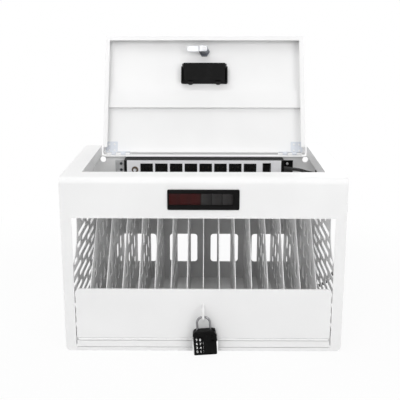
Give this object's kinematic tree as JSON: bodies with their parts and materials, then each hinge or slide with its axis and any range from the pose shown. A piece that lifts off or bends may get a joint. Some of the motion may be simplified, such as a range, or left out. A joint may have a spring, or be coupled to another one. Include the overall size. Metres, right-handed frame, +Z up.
{
  "type": "laptop charging cabinet",
  "caption": "Bench-top steel cabinet with upright laptop bays, a drop-down front flap with a combination padlock, a locking top lid and a switched power strip inside.",
  "frame": {"origin": "centre of the cabinet's footprint on the plane it stands on", "axes": "+Z up, the front faces -Y, +X to the right as seen from the front"},
  "size_m": [0.6528, 0.5616, 0.6541],
  "materials": {
    "white_powder_coat": "fine satin powder coat",
    "painted_hinge": "powder coated hinge steel",
    "bright_steel": "bright steel",
    "zinc_plate": "zinc plated",
    "black_abs": "fine textured moulding",
    "black_bezel": "fine textured moulding",
    "smoked_window": "smoked acrylic",
    "red_lens": "translucent red",
    "clear_lens": "translucent grey",
    "black_housing": "black enamel",
    "strip_face": "satin silver white",
    "black_outlet": "moulded nylon",
    "black_rubber": "soft moulded",
    "cord_jacket": "round jacketed cord",
    "black_lock": "black die cast",
    "black_dial": "numbered dial",
    "dark_chrome": "dark chrome"
  },
  "bodies": {
    "cabinet": {"outer_frame": "white_powder_coat", "side_panel_left": "white_powder_coat", "side_panel_right": "white_powder_coat", "rear_panel": "white_powder_coat", "floor_pan": "white_powder_coat", "partition_01": "white_powder_coat", "partition_02": "white_powder_coat", "partition_03": "white_powder_coat", "partition_04": "white_powder_coat", "partition_05": "white_powder_coat", "partition_06": "white_powder_coat", "partition_07": "white_powder_coat", "partition_08": "white_powder_coat", "partition_09": "white_powder_coat", "partition_10": "white_powder_coat", "partition_11": "white_powder_coat", "partition_12": "white_powder_coat", "partition_13": "white_powder_coat", "partition_14": "white_powder_coat", "partition_15": "white_powder_coat", "flap_hinge_leaf_base": "painted_hinge", "hinge_pins": "bright_steel", "lid_hinge_leaves_body": "painted_hinge", "indicator_bezel": "black_bezel", "indicator_window": "smoked_window", "indicator_lenses_red": "red_lens", "indicator_lenses_clear": "clear_lens", "indicator_housing": "black_abs", "power_strip_housing": "black_housing", "power_strip_face": "strip_face", "outlets": "black_outlet", "power_strip_brackets": "black_housing", "power_strip_screws": "bright_steel", "cord_gland": "black_rubber", "cord_grommet": "black_rubber", "supply_cord": "cord_jacket", "cord_coil": "cord_jacket", "plug_body": "black_rubber", "plug_pins": "bright_steel"},
    "flap": {"flap_panel": "white_powder_coat", "flap_hinge_leaf_door": "painted_hinge", "staple": "white_powder_coat"},
    "padlock": {"padlock_body": "black_lock"},
    "shackle": {"padlock_shackle": "dark_chrome"},
    "dial_1": {"padlock_dial_1": "black_dial"},
    "dial_2": {"padlock_dial_2": "black_dial"},
    "dial_3": {"padlock_dial_3": "black_dial"},
    "dial_4": {"padlock_dial_4": "black_dial"},
    "latch": {"padlock_latch": "black_lock"},
    "lid": {"lid_tray": "white_powder_coat", "lid_stiffener": "white_powder_coat", "lid_hinge_leaves_lid": "painted_hinge", "lid_handle_cup": "black_abs", "lid_lock_barrel": "zinc_plate", "lid_lock_nut": "zinc_plate"},
    "lid_lock": {"lid_lock_plug": "zinc_plate", "lid_lock_cam": "zinc_plate", "lid_lock_screw": "zinc_plate"},
    "rocker": {"rocker_switch": "black_outlet"},
    "reset_button": {"breaker_button": "zinc_plate"}
  },
  "joints": [
    {"name": "lid_hinge", "type": "hinge", "parent": "cabinet", "child": "lid", "pos_m": [0, 0.188, 0.366], "axis": [1, 0, 0], "range_deg": [0, 114]},
    {"name": "lid_lock_turn", "type": "hinge", "parent": "lid", "child": "lid_lock", "pos_m": [0, 0.30513, 0.61925], "axis": [0, 0.9135, -0.4067], "range_deg": [0, 90]},
    {"name": "flap_hinge", "type": "hinge", "parent": "cabinet", "child": "flap", "pos_m": [0, -0.18425, 0.027], "axis": [1, 0, 0], "range_deg": [0, 90]},
    {"name": "padlock_swing", "type": "hinge", "parent": "flap", "child": "padlock", "pos_m": [0, -0.2, 0.081], "axis": [0, 1, 0], "range_deg": [-91, 99]},
    {"name": "shackle_lift", "type": "slide", "parent": "padlock", "child": "shackle", "axis": [-0.0698, 0, 0.9976], "range_m": [0, 0.008]},
    {"name": "latch_slide", "type": "slide", "parent": "padlock", "child": "latch", "axis": [0.0698, 0, -0.9976], "range_m": [0, 0.003], "stiffness_N_per_m": 200, "springref_m": -0.002},
    {"name": "rocker_tilt", "type": "hinge", "parent": "cabinet", "child": "rocker", "pos_m": [0.156, 0.1415, 0.33565], "axis": [-1, 0, 0], "range_deg": [0, 14]},
    {"name": "button_press", "type": "slide", "parent": "cabinet", "child": "reset_button", "axis": [0, 1, 0], "range_m": [0, 0.003], "stiffness_N_per_m": 500, "springref_m": -0.002},
    {"name": "dial_1_turn", "type": "hinge", "parent": "padlock", "child": "dial_1", "pos_m": [-0.00791, -0.2, 0.02932], "axis": [-0.0698, 0, 0.9976], "continuous": true},
    {"name": "dial_2_turn", "type": "hinge", "parent": "padlock", "child": "dial_2", "pos_m": [-0.00791, -0.2, 0.02932], "axis": [-0.0698, 0, 0.9976], "continuous": true},
    {"name": "dial_3_turn", "type": "hinge", "parent": "padlock", "child": "dial_3", "pos_m": [-0.00791, -0.2, 0.02932], "axis": [-0.0698, 0, 0.9976], "continuous": true},
    {"name": "dial_4_turn", "type": "hinge", "parent": "padlock", "child": "dial_4", "pos_m": [-0.00791, -0.2, 0.02932], "axis": [-0.0698, 0, 0.9976], "continuous": true}
  ]
}
